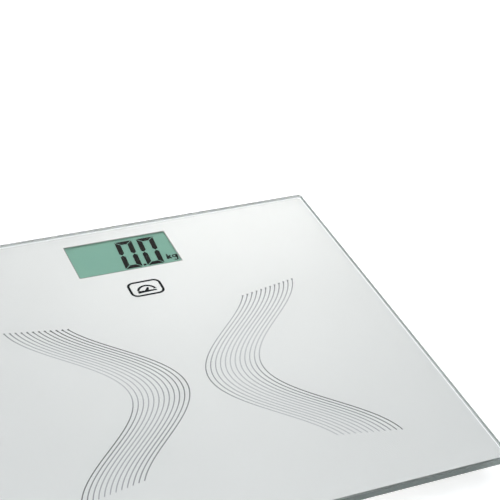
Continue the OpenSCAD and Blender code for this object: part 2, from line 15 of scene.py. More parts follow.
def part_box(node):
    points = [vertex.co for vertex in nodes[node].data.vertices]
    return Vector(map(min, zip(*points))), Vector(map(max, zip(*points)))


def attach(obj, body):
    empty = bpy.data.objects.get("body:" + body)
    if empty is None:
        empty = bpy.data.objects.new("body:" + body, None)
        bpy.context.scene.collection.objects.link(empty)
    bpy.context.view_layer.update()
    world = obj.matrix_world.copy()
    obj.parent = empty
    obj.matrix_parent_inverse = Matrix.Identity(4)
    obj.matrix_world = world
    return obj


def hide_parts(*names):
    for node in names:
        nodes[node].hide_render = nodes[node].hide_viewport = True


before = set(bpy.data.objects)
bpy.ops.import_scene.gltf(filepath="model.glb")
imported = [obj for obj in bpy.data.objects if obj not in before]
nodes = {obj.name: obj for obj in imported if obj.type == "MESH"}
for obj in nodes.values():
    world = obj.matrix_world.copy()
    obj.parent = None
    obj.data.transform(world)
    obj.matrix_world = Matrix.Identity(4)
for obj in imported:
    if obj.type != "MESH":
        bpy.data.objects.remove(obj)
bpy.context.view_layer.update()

MM = 0.001

# %% [markdown]
# ## The camera
# A product photographer stands back with a long lens, so that the square platform keeps its shape, and
# crops in on the display. The camera stands about 26 degrees round to the left, looks down at about 34
# degrees, and is rolled by about 5, which gives the page its slant. Its place is written as where it
# stands, the way it looks and the way that is up. Its third axis follows from those.

# %% Camera
camera_data = bpy.data.cameras.new("camera")
camera_data.sensor_width = 36
LENS_MM = 105.36
camera_data.lens = LENS_MM
camera = bpy.data.objects.new("camera", camera_data)
bpy.context.scene.collection.objects.link(camera)
stand = Vector((-0.28265, -0.66602, 0.59904))
ahead = Vector((0.35991, 0.74318, -0.56404)).normalized()
up = Vector((0.16701, 0.54347, 0.82265))
right = ahead.cross(up).normalized()
up = right.cross(ahead)
camera.matrix_world = Matrix((right, up, -ahead)).transposed().to_4x4()
camera.matrix_world.translation = stand
bpy.context.scene.camera = camera
print("camera height in mm:", round(stand.z / MM), "and distance:", round(stand.length / MM))

# %% [markdown]
# ## Colours and nodes
# Colours are written the way a paint or print shop gives them, as sRGB hex, and one function turns
# them to the linear numbers that the renderer mixes. A second small function adds a node to a material
# with its settings and its links, so each material reads as a short list.

# %% Colour and node helpers
def colour(hex_code):
    parts = [int(hex_code[i:i + 2], 16) / 255 for i in (1, 3, 5)]
    return tuple(c / 12.92 if c <= 0.04045 else ((c + 0.055) / 1.055) ** 2.4 for c in parts) + (1.0,)


def add(material, kind, inputs=None, **settings):
    """Adds a node. inputs maps a socket's name or number to a value or to another node's output."""
    tree = material.node_tree
    node = tree.nodes.new(kind)
    for key, value in settings.items():
        setattr(node, key, value)
    for key, value in (inputs or {}).items():
        if isinstance(value, bpy.types.NodeSocket):
            tree.links.new(value, node.inputs[key])
        else:
            node.inputs[key].default_value = value
    return node


def new_material(name):
    material = bpy.data.materials.new(name)
    material.use_nodes = True
    material.node_tree.nodes.clear()
    return material


def finish_with(material, shader):
    add(material, "ShaderNodeOutputMaterial", {"Surface": shader.outputs[0]})
    return material


def ramp(material, factor, stops):
    """A colour ramp. stops are pairs of place and colour, or place and grey level."""
    node = add(material, "ShaderNodeValToRGB", {"Fac": factor})
    points = node.color_ramp.elements
    while len(points) < len(stops):
        points.new(0.5)
    for point, (place, value) in zip(points, stops):
        point.position = place
        point.color = value if isinstance(value, tuple) else (value, value, value, 1)
    return node


dressed = set()


def dress(material, *names):
    dressed.update(names)
    for name in names:
        mesh = nodes[name].data
        mesh.materials.clear()
        mesh.materials.append(material)
    return material


print("hex #808080 is", round(colour("#808080")[0], 3), "in linear light")

# %% [markdown]
# ## Light and floor
# Glass mirrors whatever stands across from the camera, and a pale wall there would lie over the print
# like fog. A photographer lights glass from straight above and keeps the walls dark, and so does this
# room: the sky is bright overhead and dim from about 43 degrees down to the horizon. Below that it is
# brighter again, which lights the underside. The camera itself sees it plain white everywhere.
# A lamp low behind the back right corner falls off across the platform, so that the print darkens
# softly towards the front left. It stands about 15 degrees below the line that the glass would mirror
# to the camera, so it never shows as a glare, and it casts no shadows, like a very wide softbox.
# The table glows a little, like an acrylic light table, so it stays white. It is clear when seen from
# below, so that the underside can be inspected too.

# %% World, lamps and table
world = bpy.data.worlds.new("light box")
bpy.context.scene.world = world
world.use_nodes = True
SKY_BELOW, SKY_WALL, SKY_ABOVE = 0.55, 0.1, 1.8
# Heights in the sky run from 0, straight down, to 1, straight up, and the horizon is at 0.5.
BELOW_END, WALL_START, WALL_END, ABOVE_START = 0.45, 0.5, 0.84, 0.92
world.node_tree.nodes.clear()


def add_sky(material):
    """The world is a node tree too, so the same helper serves it."""
    view = add(material, "ShaderNodeTexCoord")
    height = add(material, "ShaderNodeSeparateXYZ", {0: view.outputs["Generated"]})
    up_down = add(material, "ShaderNodeMapRange", {"Value": height.outputs["Z"], "From Min": -1.0,
                  "From Max": 1.0})
    below, wall = SKY_BELOW / SKY_ABOVE, SKY_WALL / SKY_ABOVE
    glow = ramp(material, up_down.outputs[0], [(0.0, below), (BELOW_END, below), (WALL_START, wall),
                (WALL_END, wall), (ABOVE_START, 1.0)])
    light_path = add(material, "ShaderNodeLightPath")
    power = add(material, "ShaderNodeMath", {0: glow.outputs[0], 1: SKY_ABOVE}, operation="MULTIPLY")
    seen = add(material, "ShaderNodeMix", {"Factor": light_path.outputs["Is Camera Ray"],
               "A": power.outputs[0], "B": 1.0}, data_type="FLOAT")
    sky = add(material, "ShaderNodeBackground", {"Color": colour("#F6FAFF"), "Strength": seen.outputs[0]})
    add(material, "ShaderNodeOutputWorld", {"Surface": sky.outputs[0]})


add_sky(world)


def lamp(name, place, target, size, watts):
    data = bpy.data.lights.new(name, "AREA")
    data.shape = "DISK"
    data.size = size
    data.energy = watts
    thing = bpy.data.objects.new(name, data)
    bpy.context.scene.collection.objects.link(thing)
    thing.location = place
    thing.rotation_mode = "QUATERNION"
    thing.rotation_quaternion = (Vector(target) - Vector(place)).to_track_quat("-Z", "Y")
    return thing


KEY_PLACE, KEY_TARGET = (0.55, 1.25, 0.45), (0.02, 0.05, 0)
KEY_SIZE, KEY_WATTS = 0.3, 8.9
key = lamp("key", KEY_PLACE, KEY_TARGET, KEY_SIZE, KEY_WATTS)
key.data.color = (1.0, 0.98, 0.95)
key.data.use_shadow = False

TABLE_SIZE, TABLE_GLOW = 12, 0.35
table_paint = new_material("white acrylic table")
white = add(table_paint, "ShaderNodeBsdfPrincipled", {"Base Color": colour("#F2F2F2"), "Roughness": 0.6,
            "Emission Color": colour("#FFFFFF"), "Emission Strength": TABLE_GLOW})
clear = add(table_paint, "ShaderNodeBsdfTransparent")
side = add(table_paint, "ShaderNodeNewGeometry")
finish_with(table_paint, add(table_paint, "ShaderNodeMixShader",
            {0: side.outputs["Backfacing"], 1: white.outputs[0], 2: clear.outputs[0]}))
bpy.ops.mesh.primitive_plane_add(size=TABLE_SIZE, location=(0, 0, 0))
table = bpy.context.object
table.name = "table"
table.data.materials.append(table_paint)

bpy.context.scene.view_settings.view_transform = "Standard"

# %% [markdown]
# ## The glass
# The platform is toughened float glass, 6 mm thick, with its edges ground to a bevel. Float glass is
# smooth enough to mirror the room, and its sides act as mirrors from inside, which gives bright and
# dark lines along the edges. A grey tint on the sides and bevels is painted shade that darkens those
# lines further. The sides and bevels are ground, and the fine grit on them scatters a part of the
# light, so a share of plain green-grey surface is mixed in there. Ground glass has a grain of about
# 0.05 mm, which is drawn at 0.3 mm so that it shows. A real glass shader bends the light.
# A lamp's light has to get through to the print as well, and a path tracer does not find its way
# through bent glass, so for shadow rays only the glass is clear.

# %% Toughened float glass
glass_low, glass_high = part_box("glass_platform")
# The upright part of a face's direction tells sides (0), bevels (about 0.7) and flat faces (1) apart.
SIDE_END, BEVEL_START, BEVEL_END, FLAT_START = 0.25, 0.45, 0.9, 0.97
BEVEL_ROUGHNESS, GRIT_MM = 0.42, 0.3
SIDE_SATIN, BEVEL_SATIN = 0.4, 0.25
# The grey tints of the sides and bevels are painted shade: they darken the light through them to draw dark
# lines along the edges.
side_shade_tint, bevel_shade_tint = colour("#E4E8E7"), colour("#A9ADAC")
float_glass = new_material("float glass, ground bevel")
face = add(float_glass, "ShaderNodeNewGeometry")
normal = add(float_glass, "ShaderNodeSeparateXYZ", {0: face.outputs["Normal"]})
tilt = add(float_glass, "ShaderNodeMath", {0: normal.outputs["Z"]}, operation="ABSOLUTE")
bevel = ramp(float_glass, tilt.outputs[0], [(0.0, 0.0), (SIDE_END, 0.0), (BEVEL_START, 1.0),
             (BEVEL_END, 1.0), (FLAT_START, 0.0)])
edge_shade_tint = ramp(float_glass, tilt.outputs[0], [(0.0, side_shade_tint), (SIDE_END, side_shade_tint),
            (BEVEL_START, bevel_shade_tint), (BEVEL_END, bevel_shade_tint), (FLAT_START, colour("#FDFEFE"))])
satin = ramp(float_glass, tilt.outputs[0], [(0.0, SIDE_SATIN), (SIDE_END, SIDE_SATIN),
             (BEVEL_START, BEVEL_SATIN), (BEVEL_END, BEVEL_SATIN), (FLAT_START, 0.0)])
rough = add(float_glass, "ShaderNodeMath", {0: bevel.outputs[0], 1: BEVEL_ROUGHNESS}, operation="MULTIPLY")
grit = add(float_glass, "ShaderNodeTexNoise", {"Vector": face.outputs["Position"],
           "Scale": 1 / (GRIT_MM * MM), "Detail": 3})
grit_bump = add(float_glass, "ShaderNodeBump", {"Strength": 0.15, "Distance": 0.02 * MM,
                "Height": grit.outputs["Fac"]})
slab = add(float_glass, "ShaderNodeBsdfPrincipled", {"Base Color": edge_shade_tint.outputs[0],
           "Transmission Weight": 1.0, "IOR": 1.52, "Roughness": rough.outputs[0],
           "Normal": grit_bump.outputs[0]})
ground = add(float_glass, "ShaderNodeBsdfPrincipled", {"Base Color": colour("#A9B8B2"), "Roughness": 0.5,
             "Specular IOR Level": 0.3})
edged = add(float_glass, "ShaderNodeMixShader", {0: satin.outputs[0], 1: slab.outputs[0],
            2: ground.outputs[0]})
ray = add(float_glass, "ShaderNodeLightPath")
see_through = add(float_glass, "ShaderNodeBsdfTransparent", {"Color": colour("#FBFCFC")})
finish_with(float_glass, add(float_glass, "ShaderNodeMixShader",
            {0: ray.outputs["Is Shadow Ray"], 1: edged.outputs[0], 2: see_through.outputs[0]}))
dress(float_glass, "glass_platform")
print("glass from", round(glass_low.z / MM, 2), "to", round(glass_high.z / MM, 2), "mm")

# %% [markdown]
# ## The printed film
# The silver-white ground is a screen print: mica flakes in a white lacquer on the back of a clear
# film. Flakes give it a part-metallic sheen that follows the light. The real flakes are about 0.05 mm,
# too fine to show here, so the sparkle is drawn at 0.25 mm and kept faint.

# %% Silver screen print
FLAKE_MM, CLOUD_MM = 0.25, 60
silver_print = new_material("mica screen print on PET film")
spot = add(silver_print, "ShaderNodeNewGeometry")
flake = add(silver_print, "ShaderNodeTexVoronoi", {"Vector": spot.outputs["Position"],
            "Scale": 1 / (FLAKE_MM * MM)})
cloud = add(silver_print, "ShaderNodeTexNoise", {"Vector": spot.outputs["Position"],
            "Scale": 1 / (CLOUD_MM * MM), "Detail": 2})
tone = add(silver_print, "ShaderNodeMix", {"Factor": 0.35, "A": flake.outputs["Distance"],
           "B": cloud.outputs["Fac"]}, data_type="FLOAT")
lacquer = ramp(silver_print, tone.outputs[0], [(0.2, colour("#E2E2E0")), (0.8, colour("#E8E8E6"))])
sparkle = add(silver_print, "ShaderNodeBump", {"Strength": 0.06, "Distance": 0.02 * MM,
              "Height": flake.outputs["Distance"]})
finish_with(silver_print, add(silver_print, "ShaderNodeBsdfPrincipled", {"Base Color": lacquer.outputs[0],
            "Metallic": 0.1, "Roughness": 0.55, "Specular IOR Level": 0.3, "Normal": sparkle.outputs[0]}))
dress(silver_print, "backing_film")
film_low, film_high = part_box("backing_film")
print("film:", [round(v / MM, 2) for v in film_high - film_low])

# %% [markdown]
# ## Ribbons and plates
# The printed lines and the liquid-crystal segments are real layers with a little thickness. Two
# helpers build them as closed solids. A ribbon follows a line on the level at a given width, and a
# plate is an outline raised by its thickness.

# %% Ribbon and plate helpers
PLAIN_SHADE = 0.5  # for pieces that aren't shaded along their length


def solid(name, outlines, base, top, material):
    """One mesh of closed prisms. outlines are lists of points in millimetres, counter-clockwise."""
    points, faces = [], []
    for outline in outlines:
        n, start = len(outline), len(points)
        points += [(x * MM, y * MM, base) for x, y in outline] + [(x * MM, y * MM, top) for x, y in outline]
        faces.append([start + k for k in reversed(range(n))])
        faces.append([start + n + k for k in range(n)])
        faces += [[start + k, start + (k + 1) % n, start + n + (k + 1) % n, start + n + k] for k in range(n)]
    return build(name, points, faces, [PLAIN_SHADE] * len(points), material)


def build(name, points, faces, tints, material):
    """Makes the object. Everything that this lesson adds is fixed to the platform."""
    mesh = bpy.data.meshes.new(name)
    mesh.from_pydata(points, [], faces)
    mesh.validate()
    shade = mesh.attributes.new("shade", "FLOAT", "POINT")
    shade.data.foreach_set("value", tints)
    mesh.materials.append(material)
    thing = bpy.data.objects.new(name, mesh)
    bpy.context.scene.collection.objects.link(thing)
    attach(thing, "platform")
    return thing


def ribbons(name, lines, width, base, top, material, closed=False, shades=None):
    """Closed strips that follow lines of points in millimetres, each width millimetres wide."""
    points, faces, tints = [], [], []
    for i, line in enumerate(lines):
        n, start = len(line), len(points)
        for k, (x, y) in enumerate(line):
            before = line[k - 1] if closed or k > 0 else line[k]
            after = line[(k + 1) % n] if closed or k < n - 1 else line[k]
            a = Vector((x - before[0], y - before[1]))
            b = Vector((after[0] - x, after[1] - y))
            a, b = (a or b).normalized(), (b or a).normalized()
            along = (a + b).normalized()
            across = Vector((-along.y, along.x)) * (width / 2 / max(along.dot(a), 0.5))
            for sign, z in ((1, base), (-1, base), (-1, top), (1, top)):
                points.append(((x + sign * across.x) * MM, (y + sign * across.y) * MM, z))
            tints += [shades[i][k] if shades else PLAIN_SHADE] * 4
        for k in range(n if closed else n - 1):
            p, q = start + 4 * k, start + 4 * ((k + 1) % n)
            faces += [[p + e, p + (e + 1) % 4, q + (e + 1) % 4, q + e] for e in range(4)]
        if not closed:
            last = start + 4 * (n - 1)
            faces += [[start + 3, start + 2, start + 1, start], [last, last + 1, last + 2, last + 3]]
    return build(name, points, faces, tints, material)


print("glue between film and glass in mm:", round((glass_low.z - film_high.z) / MM, 3))

# %% [markdown]
# ## The wavy lines
# Two mirrored bands of twelve fine lines are printed in grey metallic ink. Each line is a cosine wave
# that comes closest to the middle a little in front of the platform's centre, and the lines are
# stepped outwards by a fixed pitch. The ink's colour is made darker and lighter along the lines by a
# shade value on each point. All lines are dark at their back tips. In the left band the inner lines
# stay dark as far as the waist, and in the right band only close to it. Past the waist the outer lines
# are the dark ones.

# %% Metallic ink
metal_ink = new_material("grey metallic screen ink")
ink_shade = add(metal_ink, "ShaderNodeAttribute", attribute_name="shade")
ink_spot = add(metal_ink, "ShaderNodeNewGeometry")
ink_grain = add(metal_ink, "ShaderNodeTexNoise", {"Vector": ink_spot.outputs["Position"],
                "Scale": 1 / (0.4 * MM), "Detail": 2})
ink_mix = add(metal_ink, "ShaderNodeMath", {0: ink_grain.outputs["Fac"], 1: 0.08,
              2: ink_shade.outputs["Fac"]}, operation="MULTIPLY_ADD")
ink_colour = ramp(metal_ink, ink_mix.outputs[0], [(0.0, colour("#121414")), (0.5, colour("#868989")),
                  (1.0, colour("#CCCCCE"))])
finish_with(metal_ink, add(metal_ink, "ShaderNodeBsdfPrincipled", {"Base Color": ink_colour.outputs[0],
            "Metallic": 0.15, "Roughness": 0.55, "Specular IOR Level": 0.2}))
print("ink:", metal_ink.name)

# %% The course of a line
WAVES = 12
PITCH = 3.33
NEAREST = 7.4
SWING = 57.5
WAIST_Y = -24.7
HALF_WAVE = 88.0
LINE_WIDTH = 0.75
STEPS = 96
FIRST_START, LAST_START = 48.6, 56.5


def wave_x(y):
    return NEAREST + SWING * (1 - math.cos(math.pi * min(abs(y - WAIST_Y) / HALF_WAVE, 1.0))) / 2


print("inner line at its back tip and at the waist in mm:", round(wave_x(FIRST_START), 1), wave_x(WAIST_Y))

# %% The shade along a line
LIGHTEST = 0.82
TIP_DARK, TIP_LENGTH = 0.5, 0.09
WAIST, LEFT_DELAY, CROSSING = 0.5, 0.06, 0.04


def line_shade(side_sign, outer, along):
    """From 0, black, to 1, light. outer is 0 at the inner line, and along runs from the back tip to 1."""
    tip = TIP_DARK * math.exp(-along / TIP_LENGTH)
    turn = WAIST + (LEFT_DELAY if side_sign < 0 else 0)
    past_waist = 1 / (1 + math.exp(-(along - turn) / CROSSING))
    if side_sign < 0:
        dark = (1 - outer) ** 1.8 * (0.72 - 0.35 * past_waist) + 0.6 * outer ** 5 * past_waist
    else:
        near_waist = math.exp(-((along - WAIST) / 0.2) ** 2)
        dark = 0.75 * outer ** 4 * past_waist + 0.5 * (1 - outer) ** 6 * near_waist
    return max(0.0, LIGHTEST - tip - dark)


print("right band at the waist, inner and outer:", [round(line_shade(1, k, WAIST), 2) for k in (0, 1)])

# %% Two bands of twelve lines
wave_lines, wave_shades = [], []
for side_sign in (-1, 1):
    for k in range(WAVES):
        outer = k / (WAVES - 1)
        reach = FIRST_START + (LAST_START - FIRST_START) * outer - WAIST_Y
        levels = [WAIST_Y + reach * (1 - 2 * i / STEPS) for i in range(STEPS + 1)]
        wave_lines.append([(side_sign * (wave_x(y) + PITCH * k), y) for y in levels])
        wave_shades.append([line_shade(side_sign, outer, i / STEPS) for i in range(STEPS + 1)])
LAYER = 0.012 * MM
ink_base, ink_top = film_high.z + LAYER / 2, film_high.z + 2 * LAYER
waves = ribbons("printed_waves", wave_lines, LINE_WIDTH, ink_base, ink_top, metal_ink,
                shades=wave_shades)
print("wavy lines:", len(wave_lines), "points:", len(waves.data.vertices))

# %% [markdown]
# ## The pictogram
# A small printed sign of a scale stands under the display: a rounded plate with a dial, its needle and
# a foot line. It is plain artwork in dark ink, drawn with strokes of a few widths. The ink is glued to
# the glass with no air between, so it has no surface of its own to shine, and its specular level is
# zero. The display's foil and crystal are bonded in the same way.

# %% Grained finish and dark ink
def grained(name, hex_low, hex_high, grain_mm, detail, roughness, specular):
    """A plain layer whose colour wanders between two shades over grains of a given size."""
    material = new_material(name)
    place = add(material, "ShaderNodeNewGeometry")
    grain = add(material, "ShaderNodeTexNoise", {"Vector": place.outputs["Position"],
                "Scale": 1 / (grain_mm * MM), "Detail": detail})
    tone = ramp(material, grain.outputs["Fac"], [(0.3, colour(hex_low)), (0.7, colour(hex_high))])
    return finish_with(material, add(material, "ShaderNodeBsdfPrincipled", {"Base Color": tone.outputs[0],
                       "Roughness": roughness, "Specular IOR Level": specular}))


dark_ink = grained("dark grey screen ink", "#131517", "#1D1F21", 0.5, 2, 0.6, 0.0)
print("sign ink:", dark_ink.name)

# %% Arcs and rounded outlines
def arc(cx, cy, r, a0, a1, n):
    angles = [math.radians(a0 + (a1 - a0) * i / n) for i in range(n + 1)]
    return [(cx + r * math.cos(a), cy + r * math.sin(a)) for a in angles]


def rounded(cx, cy, w, h, r, n=8):
    corners = [(1, 1, 0), (-1, 1, 90), (-1, -1, 180), (1, -1, 270)]
    quarters = [arc(cx + sx * (w / 2 - r), cy + sy * (h / 2 - r), r, a, a + 90, n) for sx, sy, a in corners]
    return [point for quarter in quarters for point in quarter]


print("points round a rounded plate:", len(rounded(0, 0, 2, 2, 1)))

# %% Pictogram and the painted shadow line round the window
WINDOW_W, WINDOW_D, WINDOW_BACK = 73.2, 37.4, 13.5
window_y = glass_high.y / MM - WINDOW_BACK - WINDOW_D / 2
SIGN_X, SIGN_Y = 1.9, window_y - 41.8
SIGN_W, SIGN_H, SIGN_R = 22.0, 15.0, 4.0
DIAL_R, DIAL_START, DIAL_END = 6.2, 15, 165
FOOT_HALF = 6.6
OUTLINE_STROKE, DIAL_STROKE, THIN_STROKE = 1.7, 1.6, 1.3
dial_y = SIGN_Y - 3.6

plate_line = rounded(SIGN_X, SIGN_Y, SIGN_W, SIGN_H, SIGN_R)
ribbons("sign_outline", [plate_line], OUTLINE_STROKE, ink_base, ink_top, dark_ink, closed=True)
dial = arc(SIGN_X, dial_y, DIAL_R, DIAL_START, DIAL_END, 24)
ribbons("sign_dial", [dial], DIAL_STROKE, ink_base, ink_top, dark_ink)
needle = [(SIGN_X - 0.4, dial_y + 0.4), (SIGN_X + 1.6, dial_y + 4.0)]
ribbons("sign_needle", [needle], THIN_STROKE, ink_base, ink_top, dark_ink)
foot_line = [(SIGN_X - FOOT_HALF, dial_y), (SIGN_X + FOOT_HALF, dial_y)]
ribbons("sign_base", [foot_line], THIN_STROKE, ink_base + LAYER, ink_top + LAYER, dark_ink)

# The thin taupe line round the display window is painted shadow: it stands for the shade that the film's
# edge casts into the window.
window_shadow_ink = grained("taupe ink, painted shadow at the window edge", "#6C675F", "#7A756C", 0.5, 2, 0.5, 0.5)
SHADOW_LINE_W = 0.45
half_w, half_d = (WINDOW_W + SHADOW_LINE_W) / 2, (WINDOW_D + SHADOW_LINE_W) / 2
shadow_line = [(sx * half_w, window_y + sy * half_d) for sx, sy in ((-1, -1), (1, -1), (1, 1), (-1, 1))]
ribbons("window_edge_painted_shadow", [shadow_line], SHADOW_LINE_W, ink_base, ink_top, window_shadow_ink, closed=True)
print("pictogram at", round(SIGN_X, 1), round(SIGN_Y, 1), "mm")

# %% [markdown]
# ## The display
# A reflective liquid-crystal display is a sandwich: a polariser glued to a sheet of glass, the liquid
# crystal, and a second sheet of glass with a grey-green foil glued under it. A segment that is switched
# on is a dark brown-black patch in the middle of the sandwich.
# The glued polariser and front glass act as one piece of glass for the eye, so one stepped block stands
# for both: two faces for the light to cross in place of four. The rear glass is painted with the look
# of the foil that is bonded to it.

# %% Stepped glass block
def block(name, steps, material, chamfer=0.15 * MM):
    """A closed block from the bottom up. steps are pairs of low and high corners, widest first."""
    loops = []
    for i, (low, high) in enumerate(steps):
        edge = chamfer if i == 0 else chamfer / 2
        rise = [(edge, low.z), (0, low.z + edge), (0, high.z - edge), (edge, high.z)]
        for inset, z in rise if i == 0 else rise[1:]:
            loops.append((low.x + inset, low.y + inset, high.x - inset, high.y - inset, z))
    points = [(x, y, z) for x0, y0, x1, y1, z in loops for x, y in ((x0, y0), (x1, y0), (x1, y1), (x0, y1))]
    faces = [[3, 2, 1, 0]]
    last = 4 * (len(loops) - 1)
    for p in range(0, last, 4):
        faces += [[p + e, p + (e + 1) % 4, p + 4 + (e + 1) % 4, p + 4 + e] for e in range(4)]
    faces.append([last, last + 1, last + 2, last + 3])
    return build(name, points, faces, [PLAIN_SHADE] * len(points), material)


def clear_glass(name, hex_code, roughness):
    """Bends light for the eye and lets a lamp's shadow rays straight through. Real glass has an IOR of
    1.52. It is lower here, so that this layer mirrors less and the segments below it stay black."""
    material = new_material(name)
    spot_here = add(material, "ShaderNodeNewGeometry")
    haze = add(material, "ShaderNodeTexNoise", {"Vector": spot_here.outputs["Position"],
               "Scale": 1 / (8 * MM), "Detail": 2})
    shine = add(material, "ShaderNodeMapRange", {"Value": haze.outputs["Fac"], "To Min": 0.0,
                "To Max": roughness})
    body = add(material, "ShaderNodeBsdfPrincipled", {"Base Color": colour(hex_code),
               "Transmission Weight": 1.0, "IOR": 1.2, "Roughness": shine.outputs[0]})
    light_path = add(material, "ShaderNodeLightPath")
    passing = add(material, "ShaderNodeBsdfTransparent", {"Color": colour(hex_code)})
    return finish_with(material, add(material, "ShaderNodeMixShader",
                       {0: light_path.outputs["Is Shadow Ray"], 1: body.outputs[0], 2: passing.outputs[0]}))


display_glass = clear_glass("display glass with glued polariser", "#F4F8F6", 0.04)
window_low, window_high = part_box("front_polariser")
front_low, front_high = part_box("lcd_front_glass")
front_block = block("display_front", [(front_low, front_high), (window_low, window_high)], display_glass)
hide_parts("front_polariser", "lcd_front_glass")
print("display front in mm:", [round(v / MM, 1) for v in front_high - front_low])

# %% Grey-green foil
reflector = grained("transflective foil bonded to glass", "#95C0AF", "#9BC6B6", 0.35, 3, 0.6, 0.0)
dress(reflector, "lcd_reflector", "lcd_rear_glass")
print("the foil's look is on:", [o.name for o in nodes.values() if o.data.materials[:1] == [reflector]])

# %% [markdown]
# ## Digits
# Each digit is seven bars round two squares, leaning by a few degrees. The display reads zero with one
# decimal. A zero lights the six outer bars, and the middle bar, which is off, can't be seen. Two
# outlines make all six: a cap with mitred ends, and an upright with one mitred and one pointed end. The
# others are their mirror images. A small sign for kilograms is drawn with strokes.

# %% Switched liquid crystal
segment_dark = grained("switched liquid crystal", "#1E1614", "#261D1A", 1.2, 1, 0.6, 0.0)
rear_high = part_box("lcd_rear_glass")[1]
CRYSTAL_GAP = 0.02 * MM
crystal_low, crystal_high = rear_high.z + CRYSTAL_GAP, front_low.z - CRYSTAL_GAP
print("crystal layer:", round((crystal_high - crystal_low) / MM, 2), "mm")

# %% Seven-bar digits
DIGIT_W, DIGIT_H, BAR, LEAN, GAP = 12.2, 32.2, 3.6, 0.075, 0.4
BASE_FROM_BACK = 48.0
DIGIT_BASE = glass_high.y / MM - BASE_FROM_BACK
FIRST_X, SECOND_X = -3.1, 12.8


def zero_bars():
    """The lit bars of a zero whose middle is the origin: caps at top and bottom and four uprights."""
    w, h, b, g = DIGIT_W / 2, DIGIT_H / 2, BAR, GAP
    cap = [(g - w, h), (g + b - w, h - b), (w - b - g, h - b), (w - g, h)]
    upright = [(-w, h - g), (-w, b / 2), (b / 2 - w, g / 2), (b - w, b / 2 + g), (b - w, h - b - g)]
    outlines = []
    for shape, flip_x, flip_y in ((cap, 1, 1), (upright, -1, 1), (upright, -1, -1), (cap, 1, -1),
                                  (upright, 1, -1), (upright, 1, 1)):
        outline = [(x * flip_x, y * flip_y) for x, y in shape]
        outlines.append(outline if flip_x * flip_y > 0 else outline[::-1])
    return outlines


def zero(left):
    outlines = []
    for bar in zero_bars():
        placed = [(x + DIGIT_W / 2, y + DIGIT_H / 2) for x, y in bar]
        outlines.append([(left + x + LEAN * y, DIGIT_BASE + y) for x, y in placed])
    return outlines


DOT, DOT_GAP, DOT_RISE = 2.1, 0.95, 0.3
dot_x, dot_y = FIRST_X + DIGIT_W + DOT_GAP, DIGIT_BASE + DOT_RISE
dot = [(dot_x, dot_y), (dot_x + DOT, dot_y), (dot_x + DOT + LEAN * DOT, dot_y + DOT),
       (dot_x + LEAN * DOT, dot_y + DOT)]
lit_shapes = zero(FIRST_X) + zero(SECOND_X) + [dot]
solid("digits", lit_shapes, crystal_low, crystal_high, segment_dark)
print("digits are", DIGIT_H, "mm high")

# %% Kilogram sign
KG_X, KG_Y, KG_H = 28.9, DIGIT_BASE + 3.0, 6.0
stem = [(KG_X, KG_Y), (KG_X + 0.6, KG_Y + KG_H)]
arms = [[(KG_X + 0.5, KG_Y + 1.6), (KG_X + 2.7, KG_Y + 4.1)], [(KG_X + 1.2, KG_Y + 2.4), (KG_X + 2.6, KG_Y)]]
BOWL_X, BOWL_R, HOOK_Y = KG_X + 5.3, 1.4, KG_Y - 0.6
bowl = arc(BOWL_X, KG_Y + 2.4, BOWL_R, 0, 360, 16)
hook = arc(BOWL_X, HOOK_Y, BOWL_R, 0, -150, 8)
tail = [(KG_X + 6.8, KG_Y + 4.0), *hook]
KG_STROKE = 0.95
ribbons("kilogram_sign", [stem, *arms, bowl, tail], KG_STROKE, crystal_low, crystal_high, segment_dark)
print("the sign's strokes are", KG_STROKE, "mm wide")

# %% [markdown]
# ## Moulded plastics
# Housing, feet and ducts are injection-moulded ABS. The mould is spark-eroded, which leaves a fine,
# even pebble on the plastic and a satin shine. The pebble is about 0.15 mm on the real thing, and is
# drawn at 0.35 mm so that it shows. Nylon, rubber, foam, silicone, resin and the wires' insulation are
# grained in the same way, so one function serves them all, with a shine and a grain size for each.

# %% ABS, nylon and rubber
def moulded(name, hex_low, hex_high, roughness, pebble_mm, bump):
    material = new_material(name)
    place = add(material, "ShaderNodeNewGeometry")
    pebble = add(material, "ShaderNodeTexNoise", {"Vector": place.outputs["Position"],
                 "Scale": 1 / (pebble_mm * MM), "Detail": 2})
    flow = add(material, "ShaderNodeTexNoise", {"Vector": place.outputs["Position"],
               "Scale": 1 / (25 * MM), "Detail": 2})
    body_colour = ramp(material, flow.outputs["Fac"], [(0.3, colour(hex_low)), (0.7, colour(hex_high))])
    shine = add(material, "ShaderNodeMapRange", {"Value": pebble.outputs["Fac"], "To Min": roughness - 0.05,
                "To Max": roughness + 0.08})
    relief = add(material, "ShaderNodeBump", {"Strength": bump, "Distance": 0.03 * MM,
                 "Height": pebble.outputs["Fac"]})
    return finish_with(material, add(material, "ShaderNodeBsdfPrincipled", {"IOR": 1.53,
                       "Base Color": body_colour.outputs[0], "Roughness": shine.outputs[0],
                       "Normal": relief.outputs[0]}))


CORNERS = ("front_left", "front_right", "rear_left", "rear_right")


def each(stem):
    return [stem + "_" + corner for corner in CORNERS]


